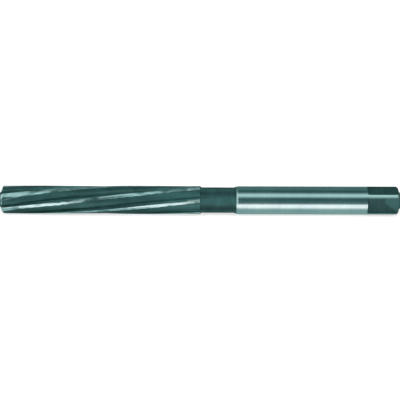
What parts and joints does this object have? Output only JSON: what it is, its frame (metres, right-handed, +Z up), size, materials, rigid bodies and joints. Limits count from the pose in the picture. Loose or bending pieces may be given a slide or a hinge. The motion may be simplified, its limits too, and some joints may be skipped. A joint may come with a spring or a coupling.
{
  "type": "hand reamer",
  "caption": "Hand reamer with left-hand spiral teeth, a narrow neck, a ground round shank and a square drive, for finishing drilled holes to size.",
  "frame": {"origin": "on the tool's axis, half way between the tips of its two centres", "axes": "+X runs along the axis to the square drive and -X to the cutting end; +Z is up, square to one of the drive's flats"},
  "size_m": [0.115, 0.008, 0.008],
  "materials": {
    "tool_steel": "ground bright on the shank, the lands and the square's corners; dark heat-treated skin in the flutes, the neck and on the flats"
  },
  "bodies": {
    "root": {"reamer": "tool_steel"}
  },
  "joints": []
}
